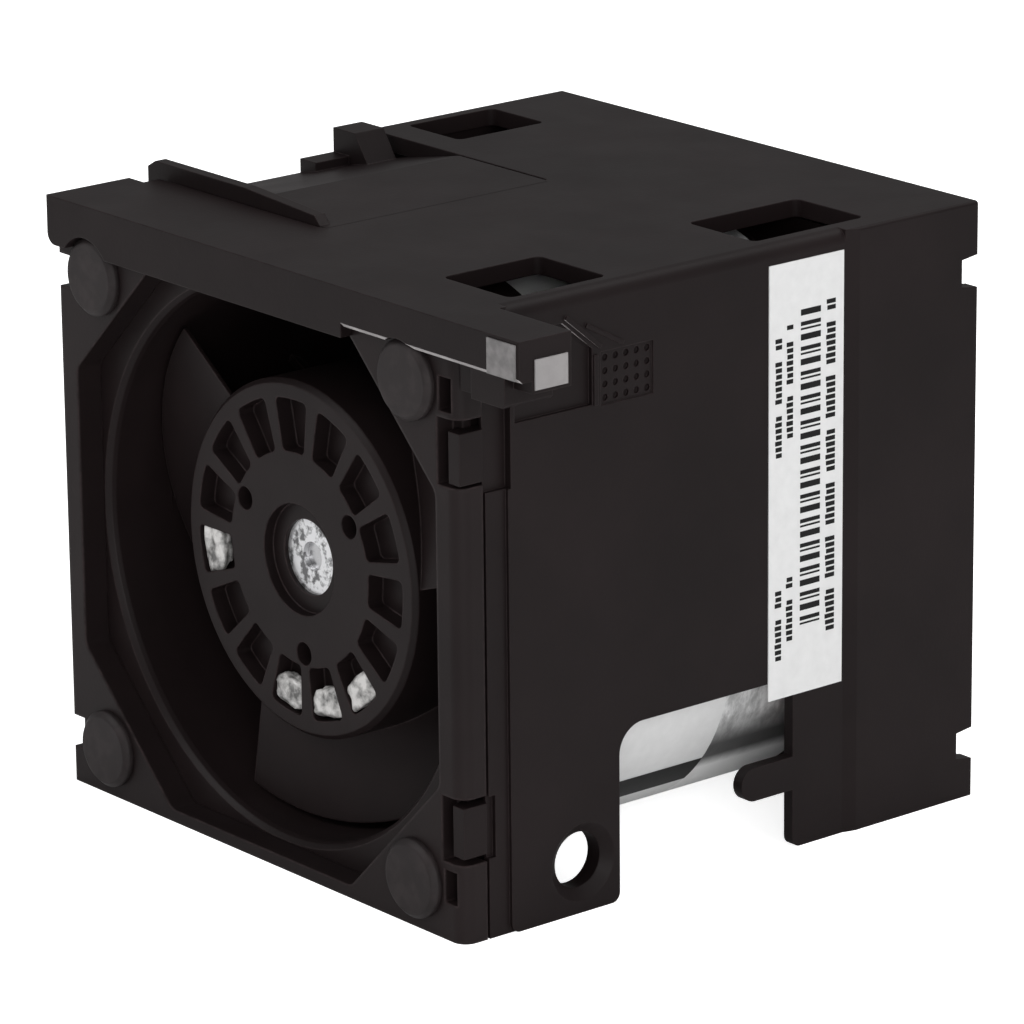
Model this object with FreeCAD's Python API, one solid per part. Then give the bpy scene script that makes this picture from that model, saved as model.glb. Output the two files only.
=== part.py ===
"""Hot-swap server fan module: a two-stage axial fan held by rubber pins in a moulded carrier.

The pieces are drawn about the fan's axis: X to the right seen from the intake, Y along the
air flow with Y = 0 at the front of the bezel, Z up.  finish() then sets the whole module
down on its feet, with the origin in the middle of the bezel's foot rail.
"""
import FreeCAD, Part
import math
import os
from FreeCAD import Vector

# ---------------------------------------------------------------- driving sizes, millimetres
# Fan
fan_square = 60.0            # flange width and height
fan_depth = 56.0             # both stages together
pin_spacing = 50.0           # square pattern of the corner holes
flange_thickness = 4.0
flange_corner = 3.0
barrel_wall = 1.0
barrel_margin = 0.8          # barrel inside the flange's square
spigot_length = 2.0          # the front stage plugs into the rear one
spigot_clearance = 0.05
spigot_room = 0.2            # spigot to the rear stage's vanes
funnel_depth = 1.0           # flared mouth of each bore
funnel_flare = 0.6

# Carrier walls
bezel_depth = 3.0
rear_plate = 2.5
rear_shroud = 4.8            # walls past the rear plate
side_wall = 1.3
left_wall = 0.9
top_wall = 1.8
right_room = 1.3             # flange to right wall: room for the fan's leads
left_room = 0.3
top_room = 0.75
foot_room = 0.1
edge_rounding = 1.4          # long edge between the top and the right wall
rear_edge_rounding = 0.35    # the same edge, where the rear stands proud
rear_wall_step = 0.4         # the rear of the right wall stands proud
rear_step_ahead = 10.2       # its start, ahead of the fan's rear face
rear_step_run = 1.5
front_strip_end = 5.75       # the right wall is a little lower ahead of this
front_strip_step = 0.4
wall_start_gap = 0.3         # bezel to wall
bezel_side_gap = 0.3         # bezel to the tab beside it

# Bezel
bezel_rail = 1.2             # width of the rails beside the opening
pin_margin = 0.6             # opening's slanted corners to the pin heads
bezel_corner_rounding = 1.5
opening_corner = 1.6
key_notch_depth = 1.8        # notches in the bezel's upright edges
key_pocket_floor = 1.8       # pockets in the right rail, down from the bezel's face
key_notch_low = 22.9         # from the axis, up and down
key_notch_height = 3.4
key_pocket_inset = 1.0       # the same, in from its edge
hook_window_reach = 3.1      # in from the bezel's right face
hook_window_height = 6.7
hook_ledge = 1.0             # left at the back of each window for the hook's barb
hook_ledge_reach = 1.5       # its edge, in from the bezel's right face
hook_height = 5.1
hook_tip_gap = 0.2           # behind the bezel's face
hook_pad_thickness = 1.6     # at the tip
hook_arm_thickness = 1.0
hook_barb = 0.6
hook_barb_land = 0.4
hook_play = 0.2              # barb to ledge
hook_recess = 0.5            # the wall beside a hook lies this much deeper
hook_root = 8.0              # where an arm has run into the wall
upper_hook = (18.95, 18.5, 14.7, 25.5, 6.1)       # middles of window and hook along Z,
lower_hook = (-18.75, -18.75, -21.9, -15.6, 4.1)  # the recess's bottom, top and end along Y

# Lip along the top of the front, and its finger tab
lip_reach = 1.4              # ahead of the bezel
lip_drop = 5.05              # below the top face
lip_thin_drop = 4.0          # the same, right of the step
lip_step_x = 16.5
lip_edge = 0.45              # chamfer along the thin part's lower edge
lip_end_rounding = 1.2
tab_reach = 10.4             # past the right wall
tab_back = 4.9               # its back face along Y
tab_corner = 0.3
tab_under_drop = 5.25        # under the lip the tab's body is set back
tab_under_setback = 0.2      # behind the bezel's face
tab_skirt_drop = 7.05
tab_skirt_edge = 0.3
tab_skirt = (35.4, 40.3)     # along X
tab_skirt_reach = 0.9        # ahead of the bezel's face
touch_depth = 1.4
touch_proud = 0.15
touch_front = (4.5, 0.4, 0.35, 3.8)   # in from the tab's end, in X; down from its top, in Z
touch_end = (0.45, 4.4, 1.95, 4.9)    # along Y; down from its top, in Z
touch_bridge = 0.6           # inside the tab's skin

# Right wall: cut-out between the legs, peg and locating hole
cutout_start = 19.4
cutout_behind = 16.9         # its end, ahead of the fan's rear face
cutout_top = -12.1
cutout_corner = 3.0
leg_corner = 1.0
peg_radius = 1.75
peg_reach = 6.8
peg_height = -22.2
leg_hole_radius = 2.85
leg_hole_y = 14.7
leg_hole_z = -24.9
countersink_radius = 4.0
countersink_depth = 0.9
leg_boss_wall = 1.6
leg_boss_reach = 1.4
rear_notch_depth = 2.1
rear_notch_height = 2.8
rear_notch_z = (25.4, -24.4)
side_recess = ((6.6, 21.0), (16.2, 21.0), (16.2, 26.6), (12.6, 29.7), (6.6, 29.7))   # y, z
side_recess_depth = 0.5
side_ridge = (16.3, 16.8, 20.9, 25.9)      # y from, y to, z from, z to
side_ribs = ((12.9, 30.2, 17.2, 26.6), (15.4, 29.0, 20.0, 26.5))   # y, z to y, z
side_rib_width = 0.45
side_rib_rise = 0.25
dimple_panel = (17.3, 23.9, 20.7, 26.0)    # y from, y to, z from, z to
dimple_panel_depth = 0.2
dimple_columns = 5
dimple_rows = 4
dimple_radius = 0.35
dimple_depth = 0.3

# Windows in the top, each with its range along X, then its front and back edges
window_corner = 0.8
front_window = (20.3, 30.4, 8.0, 20.0)
rear_window_x = (20.3, 30.2)
rear_window_ahead = (20.0, 5.5)    # of the fan's rear face
left_window_x = (-29.9, -21.3)
left_window_ahead = (15.0, 3.4)

# Release latch, a tongue that bends at its root near the middle of the top
latch_root = -2.0
latch_start = 10.9
latch_window_gap = 3.9       # to the window behind it
latch_slot = 0.4
latch_thickness = 1.7
latch_knee = -16.0           # the tongue slopes down left of this
latch_tip_drop = 3.1
latch_rib_width = 1.3
latch_rib_rise = 1.6
latch_rib_crest = -15.0      # from here the rib slopes down towards the root
latch_rib_tail = -2.8
latch_rib_tail_rise = 0.9
latch_rib_dip = 0.75         # the rib is lower at its left end
latch_catch_margin = 1.1     # catch to the end of the latch's room
latch_catch_depth = 3.8      # along Y
latch_catch_rise = 1.0
latch_catch_flat = 3.6
latch_catch_width = 6.5
latch_stop_depth = 4.4       # ahead of the catch
latch_stop_rise = 1.5
latch_stop_width = 2.6
latch_finger_depth = 6.5     # the left wall is cut down this far below the tongue
fixed_edge_notch = 2.5       # the top's left edge is set in behind the lip
fixed_edge_start = 8.9

# Rotor
rotor_setback = 2.7          # hub face behind the stage's outer face
hub_radius = 18.3
hub_wall = 1.0
hub_face = 2.8
hub_edge = 0.5
blade_clearance = 0.75
blade_thickness = 1.1
blade_edge = 0.5
blade_front = 1.0            # leading edge behind the hub's face
blade_back = 1.5             # trailing edge ahead of the hub's end
blade_sweep = 6.0            # degrees, tip against root
blade_camber = 0.16          # share of the blade's axial run
blade_fullness = 0.7         # under 1 puts the thickest place nearer the leading edge
blade_spans = 5
front_blade_angles = (129.0, 3.0, -115.0)
front_blade_wrap = 104.0
rear_blade_count = 5
rear_blade_wrap = 62.0
pocket_count = 15
pocket_first_angle = 93.0
pocket_inner = 11.0
pocket_outer = 16.4
pocket_rib = 1.5
pocket_depth = 1.9
pocket_corner = 0.6
putty_angles = (-171.0, -51.0, -75.0, -99.0)
putty_drop = 0.3
putty_length = 3.6
vent_hole_radius = 1.2
vent_hole_pitch = 9.7
vent_hole_angles = (33.0, 153.0, -87.0)
hub_recess_radius = 5.7
hub_recess_depth = 1.2
bushing_radius = 3.9
bushing_length = 4.2
bushing_recess = 0.5
yoke_wall = 0.9
yoke_back = 0.8
magnet_thickness = 1.5
magnet_inset = 1.4           # ahead of the hub's end
magnet_setback = 1.0         # behind the yoke's back
yoke_inset = 0.6             # yoke's edge ahead of the hub's end

# Motor
shaft_radius = 1.5
shaft_recess = 0.6           # shaft's end inside the bushing
shaft_end_gap = 0.35
shaft_chamfer = 0.25
clip_groove = 0.3
clip_play = 0.02
bearing_radius = 4.0
bearing_width = 3.0
bearing_ring = 0.65
ball_radius = 0.6
ball_count = 7
ball_play = 0.05
tube_wall = 1.0
tube_shoulder = 0.6
tube_end_gap = 0.6           # bushing to bearing tube
bearing_recess = 0.3         # bearing's face inside the tube's end
rear_bearing_ahead = 5.5     # of the fan's middle plane
washer_thickness = 0.25
washer_play = 0.05
clip_radius = 2.6
clip_thickness = 0.5
air_gap = 0.4
stator_length = 7.0
stator_bore_wall = 1.6
pole_count = 6
pole_width = 3.0
pole_end_gap = 0.2           # winding to the core's ring and to the pole's shoe
pole_shoe = 1.2
pole_shoe_angle = 44.0
bobbin_wall = 0.5
coil_thickness = 1.6
coil_rounding = 0.95
coil_clearance = 0.1
board_thickness = 1.0
board_radius = 13.2
board_bore_gap = 0.1
board_chips = ((8.5, 0.0, 3.0, 4.0, 1.0), (-8.8, 2.0, 2.6, 2.6, 0.8),
               (0.5, 9.0, 3.6, 2.0, 0.9), (-2.0, -9.2, 2.0, 2.4, 1.2))  # x, z, width, height, rise
base_radius = 18.0
base_wall = 1.2
base_plate = 1.5
base_gap = 0.7               # rotating hub to still motor cup
cup_depth = 6.6              # motor cup's rim ahead of the fan's middle plane
vane_count = 7
vane_chord = 5.6
vane_thickness = 1.0
vane_lean = 16.0             # degrees, from its front edge to its rear edge

# Rubber pins
pin_head_radius = 4.0
pin_head = 1.0
pin_neck_radius = 2.0
pin_hole_clearance = 0.05
pin_relief = 0.2             # round the pin heads in the lip
pin_barb_radius = 2.8
pin_barb_length = 3.6
pin_tip_radius = 1.3

# Leads, connector and labels
lead_radius = 0.6
lead_count = 4
lead_pitch = 1.35
lead_exit_angle = 43.0
lead_exit_behind = 4.4       # the fan's middle plane
lead_solder_radius = 11.5    # from the axis to where the leads leave the board
lead_corner_room = 5.6       # barrel to the corner run
lead_pin_gap = 0.35          # rearmost lead to the rubber pin's tip
lead_wall_gap = 0.35
lead_hole_room = 0.1
lead_tail = 3.0              # straight end above the connector
lead_bends = (1.6, 4.0, 2.6, 5.0, 3.0, 3.0)   # radius at each corner of the route
connector_width = 3.0
connector_length = 9.9
connector_height = 8.4
connector_flange_gap = 0.3   # to the fan's rear flange
connector_foot = 0.1
contact_size = 1.0
contact_wall = 0.2
contact_depth = 5.0
contact_recess = 0.5         # contacts start this far inside the mouth
connector_chamfer = 0.6
contact_pitch = 2.0
label_thickness = 0.12
side_label_ahead = (20.3, 10.5)   # of the fan's rear face
side_label_low = -13.9
side_label_high = 30.6
barrel_label_angles = (-72.0, 67.0)
rating_label_start = 12.0
rating_label_ahead = 2.0     # its end, ahead of the fan's middle plane
label_gap = 0.2
foil_ahead = 7.0             # its end, ahead of the fan's rear face

# ---------------------------------------------------------------- sizes that follow
half_fan = fan_square / 2
half_pins = pin_spacing / 2
barrel_radius = half_fan - barrel_margin
bore_radius = barrel_radius - barrel_wall
left_face = -(half_fan + left_room + left_wall)
left_inside = -(half_fan + left_room)
right_inside = half_fan + right_room
right_face = right_inside + side_wall
bezel_right = right_face - front_strip_step
top_inside = half_fan + top_room
top_face = top_inside + top_wall
foot_level = -(half_fan + foot_room)
fan_front = bezel_depth
fan_rear = fan_front + fan_depth
fan_middle = (fan_front + fan_rear) / 2
module_rear = fan_rear + rear_plate + rear_shroud
rear_step_start = fan_rear - rear_step_ahead
cutout_end = fan_rear - cutout_behind
rear_window = rear_window_x + tuple(fan_rear - ahead for ahead in rear_window_ahead)
left_window = left_window_x + tuple(fan_rear - ahead for ahead in left_window_ahead)
latch_end = left_window[2] - latch_window_gap
tab_left = bezel_right + bezel_side_gap
tab_right = right_face + tab_reach
hub_front = fan_front + rotor_setback
cup_front = fan_middle - cup_depth
hub_rear = cup_front - base_gap
tip_radius = bore_radius - blade_clearance
yoke_radius = hub_radius - hub_wall
magnet_radius = yoke_radius - yoke_wall
stator_radius = magnet_radius - magnet_thickness - air_gap
tube_radius = bearing_radius + tube_wall
board_front = fan_middle - base_plate - board_thickness
opening_half = half_fan - bezel_rail
opening_slant = half_pins * math.sqrt(2) - pin_head_radius - pin_margin
rear_flange_front = fan_rear - flange_thickness
lead_exit_y = fan_middle + lead_exit_behind
connector_end = rear_flange_front - connector_flange_gap
connector_x = right_inside - connector_width / 2
connector_y = connector_end - connector_length / 2
rating_label_end = fan_middle - rating_label_ahead
axis_y = Vector(0, 1, 0)
middle_point = Vector(0, fan_middle, 0)
outside = 5.0                # how far cutting tools reach past a surface
overlap = 0.3                # how deep joined solids run into each other


# ---------------------------------------------------------------- small helpers
def block(x_low, x_high, y_low, y_high, z_low, z_high):
    corner = Vector(x_low, y_low, z_low)
    return Part.makeBox(x_high - x_low, y_high - y_low, z_high - z_low, corner)


def rod(radius, y_low, y_high, x=0.0, z=0.0):
    return Part.makeCylinder(radius, y_high - y_low, Vector(x, y_low, z), axis_y)


def turned(profile):
    """Solid of revolution about the fan's axis from (radius, y) points."""
    points = [Vector(r, y, 0) for r, y in profile]
    face = Part.Face(Part.makePolygon(points + [points[0]]))
    return face.revolve(Vector(0, 0, 0), axis_y, 360)


def ring(inner, outer, y_low, y_high):
    return turned([(inner, y_low), (outer, y_low), (outer, y_high), (inner, y_high)])


def prism(points, direction):
    vectors = [Vector(*point) for point in points]
    return Part.Face(Part.makePolygon(vectors + [vectors[0]])).extrude(direction)


def about_axis(shape, angle):
    """Turned about the fan's axis, counter-clockwise seen from the intake."""
    copy = shape.copy()
    copy.rotate(Vector(0, 0, 0), axis_y, -angle)
    return copy


def polar(radius, angle, y):
    turn = math.radians(angle)
    return Vector(radius * math.cos(turn), y, radius * math.sin(turn))


def sector(inner, outer, angle_low, angle_high, y_low, y_high):
    """Part of a ring, square to the fan's axis."""
    middle = (angle_low + angle_high) / 2
    outer_arc = Part.Arc(polar(outer, angle_low, y_low), polar(outer, middle, y_low),
                         polar(outer, angle_high, y_low)).toShape()
    inner_arc = Part.Arc(polar(inner, angle_high, y_low), polar(inner, middle, y_low),
                         polar(inner, angle_low, y_low)).toShape()
    side_a = Part.makeLine(polar(outer, angle_high, y_low), polar(inner, angle_high, y_low))
    side_b = Part.makeLine(polar(inner, angle_low, y_low), polar(outer, angle_low, y_low))
    wire = Part.Wire([outer_arc, side_a, inner_arc, side_b])
    return Part.Face(wire).extrude(Vector(0, y_high - y_low, 0))


def edges_along(shape, direction, condition=None):
    """Straight edges of a shape that run along a direction."""
    found = []
    for edge in shape.Edges:
        if not isinstance(edge.Curve, Part.Line):
            continue
        run = edge.Vertexes[-1].Point - edge.Vertexes[0].Point
        along = abs(run.dot(direction))
        if run.Length > 1e-6 and along > 0.9999 * run.Length:
            if condition is None or condition(edge.CenterOfMass):
                found.append(edge)
    return found


def rounded_block(x_range, y_range, z_range, radius, direction):
    shape = block(*x_range, *y_range, *z_range)
    return shape.makeFillet(radius, edges_along(shape, direction))


def corner_places():
    return [(x, z) for x in (-half_pins, half_pins) for z in (-half_pins, half_pins)]


def mirrored(shape):
    """The same piece of the other stage, which faces the other way."""
    return shape.mirror(middle_point, axis_y)


# ---------------------------------------------------------------- carrier
def rear_notch(z_middle):
    """Chamfered notch in the rear edge of the right wall."""
    half = rear_notch_height / 2
    flare = half + front_strip_step
    depth = module_rear - rear_notch_depth
    points = [(right_inside - 1, depth, z_middle - half), (right_inside - 1, depth, z_middle + half),
              (right_inside - 1, module_rear + 1, z_middle + flare),
              (right_inside - 1, module_rear + 1, z_middle - flare)]
    return prism(points, Vector(side_wall + rear_wall_step + 2, 0, 0))


def wall_cutout(x_low, x_high):
    """Opening between the front and the rear leg, with a rounded upper front corner."""
    tool = block(x_low, x_high, cutout_start, cutout_end, foot_level - outside, cutout_top)
    upper = edges_along(tool, Vector(1, 0, 0), lambda c: c.z > foot_level)
    front = [edge for edge in upper if edge.CenterOfMass.y < (cutout_start + cutout_end) / 2]
    return tool.makeFillet(cutout_corner, front)


def on_right_face(points, x_low, x_high):
    """Prism across the right wall from (y, z) points."""
    return prism([(x_low, y, z) for y, z in points], Vector(x_high - x_low, 0, 0))


def side_rib(start_y, start_z, end_y, end_z):
    """Low slanted rib on the right wall."""
    run = Vector(0, end_y - start_y, end_z - start_z).normalize()
    across = Vector(0, -run.z, run.y) * (side_rib_width / 2)
    ends = (Vector(0, start_y, start_z), Vector(0, end_y, end_z))
    corners = [ends[0] + across, ends[1] + across, ends[1] - across, ends[0] - across]
    return on_right_face([(c.y, c.z) for c in corners], right_face - overlap,
                         right_face + side_rib_rise)


def side_details(wall):
    """Recess, ridge, ribs and dimpled panel on the right wall beside the tab."""
    ridge = block(right_face - overlap, right_face + side_rib_rise, *side_ridge)
    wall = wall.fuse([ridge] + [side_rib(*ends) for ends in side_ribs])
    y_low, y_high, z_low, z_high = dimple_panel
    face = right_face - dimple_panel_depth
    cuts = [on_right_face(side_recess, right_face - side_recess_depth, right_face),
            block(face, right_face + side_rib_rise, *dimple_panel)]
    for column in range(dimple_columns):
        for row in range(dimple_rows):
            place = Vector(face - dimple_depth,
                           y_low + (y_high - y_low) * (column + 0.5) / dimple_columns,
                           z_low + (z_high - z_low) * (row + 0.5) / dimple_rows)
            cuts.append(Part.makeCylinder(dimple_radius, dimple_depth + side_rib_rise, place,
                                          Vector(1, 0, 0)))
    return wall.cut(cuts)


def right_wall():
    start = bezel_depth + wall_start_gap
    points = [(right_inside, start), (right_face - front_strip_step, start),
              (right_face - front_strip_step, front_strip_end), (right_face, front_strip_end),
              (right_face, rear_step_start),
              (right_face + rear_wall_step, rear_step_start + rear_step_run),
              (right_face + rear_wall_step, module_rear), (right_inside, module_rear)]
    wall = prism([(x, y, foot_level) for x, y in points], Vector(0, 0, top_face - foot_level))
    wall = wall.cut(wall_cutout(right_inside - outside, right_face + outside))
    feet = edges_along(wall, Vector(1, 0, 0),
                       lambda c: c.z < foot_level + 1 and start + 1 < c.y < module_rear - 1)
    wall = wall.makeFillet(leg_corner, feet)
    boss = Part.makeCylinder(leg_hole_radius + leg_boss_wall, leg_boss_reach,
                             Vector(right_inside - leg_boss_reach, leg_hole_y, leg_hole_z),
                             Vector(1, 0, 0))
    wall = wall.fuse(boss)
    peg_start = cutout_end - peg_reach + peg_radius
    peg = block(right_inside, right_face, peg_start, cutout_end + side_wall,
                peg_height - peg_radius, peg_height + peg_radius)
    nose = Part.makeCylinder(peg_radius, side_wall, Vector(right_inside, peg_start, peg_height),
                             Vector(1, 0, 0))
    wall = wall.fuse([peg, nose])
    hole = Part.makeCylinder(leg_hole_radius, 3 * outside,
                             Vector(right_inside - outside, leg_hole_y, leg_hole_z), Vector(1, 0, 0))
    sink = Part.makeCone(leg_hole_radius, countersink_radius, countersink_depth,
                         Vector(right_face - countersink_depth, leg_hole_y, leg_hole_z),
                         Vector(1, 0, 0))
    wall = wall.cut([hole, sink] + [rear_notch(z) for z in rear_notch_z])
    return side_details(wall).removeSplitter()


def hook_room(hook):
    """Shallow recess in the wall beside a snap hook, which leaves a thin web that springs."""
    z_low, z_high, end = hook[2:]
    return block(bezel_right - hook_recess, right_face + 1, 0, end, z_low, z_high)


def snap_hook(hook):
    """Arm from the right wall with a pad and a barb in one of the bezel's corner windows."""
    low = hook[1] - hook_height / 2
    arm_outer = bezel_right - hook_recess
    arm_inner = arm_outer - hook_arm_thickness
    barb_end = bezel_depth - hook_ledge - hook_play
    points = [(arm_inner, hook_root), (arm_inner, barb_end), (arm_inner - hook_barb, barb_end),
              (arm_inner - hook_barb, barb_end - hook_barb_land),
              (bezel_right - hook_pad_thickness, hook_tip_gap), (bezel_right, hook_tip_gap),
              (bezel_right, bezel_depth), (arm_outer, bezel_depth + wall_start_gap),
              (arm_outer, hook_root)]
    return prism([(x, y, low) for x, y in points], Vector(0, 0, hook_height))


def lip():
    """Bar along the top of the front, with the finger tab at its right end."""
    back = bezel_depth + wall_start_gap
    thin = top_face - lip_thin_drop
    under = top_face - tab_under_drop
    bottom = top_face - tab_skirt_drop
    bar = block(left_face, tab_right, -lip_reach, 0, top_face - lip_drop, top_face)
    bar = bar.cut(block(lip_step_x, tab_right + 1, -lip_reach - 1, 1, top_face - lip_drop - 1, thin))
    lower_edge = edges_along(bar, Vector(1, 0, 0),
                             lambda c: c.x > lip_step_x and c.z < thin + overlap and c.y < -1)
    bar = bar.makeChamfer(lip_edge, lower_edge)
    deck = block(left_face, tab_left + overlap, 0, back, top_inside, top_face)
    tab = block(tab_left, tab_right, 0, tab_back, thin, top_face)
    body = block(tab_left, tab_right, tab_under_setback, tab_back, under, thin)
    web = block(tab_left, tab_skirt[0] + overlap, tab_under_setback, tab_back, bottom, under)
    skirt = block(*tab_skirt, -tab_skirt_reach, tab_back, bottom, thin)
    skirt = skirt.makeChamfer(tab_skirt_edge, edges_along(
        skirt, axis_y, lambda c: c.z < bottom + overlap and c.x > tab_skirt[1] - overlap))
    root = block(right_inside, tab_left + overlap, back, tab_back, bottom, top_inside)
    bar = bar.fuse([deck, tab, body, web, skirt, root]).removeSplitter()
    reliefs = [rod(pin_head_radius + pin_relief, -lip_reach - 1, 0, x, half_pins)
               for x in (-half_pins, half_pins)]
    bar = bar.cut(reliefs)
    left_end = edges_along(bar, axis_y, lambda c: c.x < left_face + 1 and c.z < top_inside)
    bar = bar.makeFillet(lip_end_rounding, left_end)
    right_end = edges_along(bar, Vector(0, 0, 1),
                            lambda c: c.x > tab_right - overlap and c.z > thin and c.y < 0)
    return bar.makeFillet(tab_corner, right_end)


def touch_pocket():
    """Room in the tab for the touch point, seen on the tab's front and end."""
    start, end, high, low = touch_front
    front = block(tab_right - start, tab_right - end, -lip_reach - outside,
                  touch_depth - lip_reach, top_face - low, top_face - high)
    start, end, high, low = touch_end
    side = block(tab_right - touch_depth, tab_right + outside, start, end,
                 top_face - low, top_face - high)
    low = touch_front[3]
    bridge = block(tab_right - touch_depth - touch_bridge, tab_right - touch_bridge,
                   -overlap, end, top_face - low, top_face - high)
    return front.fuse([side, bridge])


def top_plate():
    plate = block(left_face, right_face, bezel_depth, module_rear, top_inside, top_face)
    for x_low, x_high, y_low, y_high in (front_window, rear_window, left_window):
        plate = plate.cut(rounded_block((x_low, x_high), (y_low, y_high),
                                        (top_inside - 1, top_face + 1),
                                        window_corner, Vector(0, 0, 1)))
    tongue_room = block(left_face - 1, latch_root, latch_start, latch_end,
                        top_inside - 1, top_face + 1)
    rear_inner = edges_along(tongue_room, Vector(0, 0, 1), lambda c: c.x > latch_root - 1)
    tongue_room = tongue_room.makeFillet(window_corner, rear_inner)
    edge_notch = block(left_face - 1, left_face + fixed_edge_notch,
                       fixed_edge_start, latch_start + 1, top_inside - 1, top_face + 1)
    return plate.cut([tongue_room, edge_notch])


def left_side():
    start = bezel_depth + wall_start_gap
    wall = block(left_face, left_inside, start, module_rear, foot_level, top_face)
    wall = wall.cut(wall_cutout(left_face - outside, left_inside + outside))
    under_latch = block(left_face - 1, left_inside + 1, fixed_edge_start, latch_end,
                        top_face - latch_tip_drop - latch_finger_depth, top_face + 1)
    feet = edges_along(wall, Vector(1, 0, 0),
                       lambda c: c.z < foot_level + 1 and start + 1 < c.y < module_rear - 1)
    return wall.makeFillet(leg_corner, feet).cut(under_latch)


def rear_wall():
    plate = block(left_face, right_face + rear_wall_step, fan_rear, fan_rear + rear_plate,
                  foot_level, top_face)
    cuts = [rod(bore_radius + funnel_flare, fan_rear - 1, fan_rear + rear_plate + 1)]
    cuts += [rod(pin_neck_radius + pin_hole_clearance, fan_rear - 1, fan_rear + rear_plate + 1, x, z)
             for x, z in corner_places()]
    floor = block(left_face, right_face + rear_wall_step, fan_rear, module_rear,
                  foot_level, foot_level + left_wall)
    return plate.cut(cuts).fuse(floor)


def long_edge_tool(radius, face, y_low, y_high):
    """What a rounding takes off the edge between the top and the right wall."""
    x_low = face - radius
    z_low = top_face - radius
    corner = block(x_low, face + 1, y_low, y_high, z_low, top_face + 1)
    return corner.cut(rod(radius, y_low, y_high, x_low, z_low))


def carrier():
    body = top_plate().fuse([right_wall(), left_side(), rear_wall(), lip()])
    body = body.cut([hook_room(upper_hook), hook_room(lower_hook)])
    body = body.fuse([snap_hook(upper_hook), snap_hook(lower_hook)]).removeSplitter()
    cuts = [touch_pocket(),
            long_edge_tool(edge_rounding, right_face, front_strip_end, rear_step_start),
            long_edge_tool(rear_edge_rounding, right_face + rear_wall_step,
                           rear_step_start, module_rear)]
    return body.cut(cuts)


def touch_point():
    shape = touch_pocket()
    keep = block(0, tab_right + touch_proud, -lip_reach - touch_proud,
                 fan_rear, 0, top_face)
    return shape.common(keep).removeSplitter()


# ---------------------------------------------------------------- bezel
def opening_outline(y):
    """Octagon with long slanted corners round the rubber pins."""
    side = opening_half
    cut = opening_slant * math.sqrt(2) - side
    corners = [(side, cut), (cut, side), (-cut, side), (-side, cut),
               (-side, -cut), (-cut, -side), (cut, -side), (side, -cut)]
    return [(x, y, z) for x, z in corners]


def bezel():
    plate = block(left_face, bezel_right, 0, bezel_depth, foot_level, top_inside)
    corner = edges_along(plate, Vector(0, 0, 1), lambda c: c.x > bezel_right - 1 and c.y < 1)
    plate = plate.makeFillet(bezel_corner_rounding, corner)
    tool = prism(opening_outline(-1), Vector(0, bezel_depth + 2, 0))
    tool = tool.makeFillet(opening_corner, edges_along(tool, axis_y))
    cuts = [tool]
    cuts += [rod(pin_neck_radius + pin_hole_clearance, -1, bezel_depth + 1, x, z)
             for x, z in corner_places()]
    for side in (1, -1):
        z_low = key_notch_low if side > 0 else -key_notch_low - key_notch_height
        z_high = z_low + key_notch_height
        cuts.append(block(left_face - 1, left_face + key_notch_depth,
                          -1, bezel_depth + 1, z_low, z_high))
        pocket_right = bezel_right - key_pocket_inset
        cuts.append(block(pocket_right - key_notch_depth, pocket_right,
                          -1, key_pocket_floor, z_low, z_high))
    for z_middle in (upper_hook[0], lower_hook[0]):
        low = z_middle - hook_window_height / 2
        high = z_middle + hook_window_height / 2
        cuts.append(block(bezel_right - hook_window_reach, bezel_right + 1,
                          -1, bezel_depth - hook_ledge, low, high))
        cuts.append(block(bezel_right - hook_ledge_reach - hook_play, bezel_right + 1,
                          0, bezel_depth + 1, low, high))
    return plate.cut(cuts)


# ---------------------------------------------------------------- release latch
def release_latch():
    """Sprung tongue of the top, with a finger rib, a stop and a catch at its free end."""
    low_y = latch_start + latch_slot
    high_y = latch_end - latch_slot
    root = latch_root - latch_slot
    tip = left_face
    profile = [(root, top_face), (latch_knee, top_face), (tip, top_face - latch_tip_drop),
               (tip, top_face - latch_tip_drop - latch_thickness),
               (latch_knee, top_face - latch_thickness), (root, top_face - latch_thickness)]
    tongue = prism([(x, low_y, z) for x, z in profile], Vector(0, high_y - low_y, 0))
    under = top_face - latch_tip_drop - latch_thickness
    rib = prism([(tip, low_y, under), (tip, low_y, top_face + latch_rib_rise - latch_rib_dip),
                 (tip + latch_rib_width, low_y, top_face + latch_rib_rise),
                 (latch_rib_crest, low_y, top_face + latch_rib_rise),
                 (latch_rib_tail - latch_rib_tail_rise, low_y, top_face + latch_rib_tail_rise),
                 (latch_rib_tail, low_y, top_face),
                 (latch_knee, low_y, top_face - latch_thickness)],
                Vector(0, latch_rib_width, 0))
    catch_start = latch_end - latch_catch_margin - latch_catch_depth
    stop = block(tip, tip + latch_stop_width, catch_start - latch_stop_depth, catch_start,
                 under, top_face - latch_tip_drop + latch_stop_rise)
    catch_top = top_face + latch_catch_rise
    catch = prism([(tip, catch_start, under), (tip, catch_start, catch_top),
                   (tip + latch_catch_flat, catch_start, catch_top),
                   (tip + latch_catch_width, catch_start, top_face - latch_tip_drop)],
                  Vector(0, latch_catch_depth, 0))
    return tongue.fuse([rib, stop, catch]).removeSplitter()


# ---------------------------------------------------------------- fan housings
def flange():
    plate = rounded_block((-half_fan, half_fan), (fan_front, fan_front + flange_thickness),
                          (-half_fan, half_fan), flange_corner, axis_y)
    holes = [rod(pin_neck_radius + pin_hole_clearance, fan_front - 1,
                 fan_front + flange_thickness + 1, x, z) for x, z in corner_places()]
    return plate.cut(holes)


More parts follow.
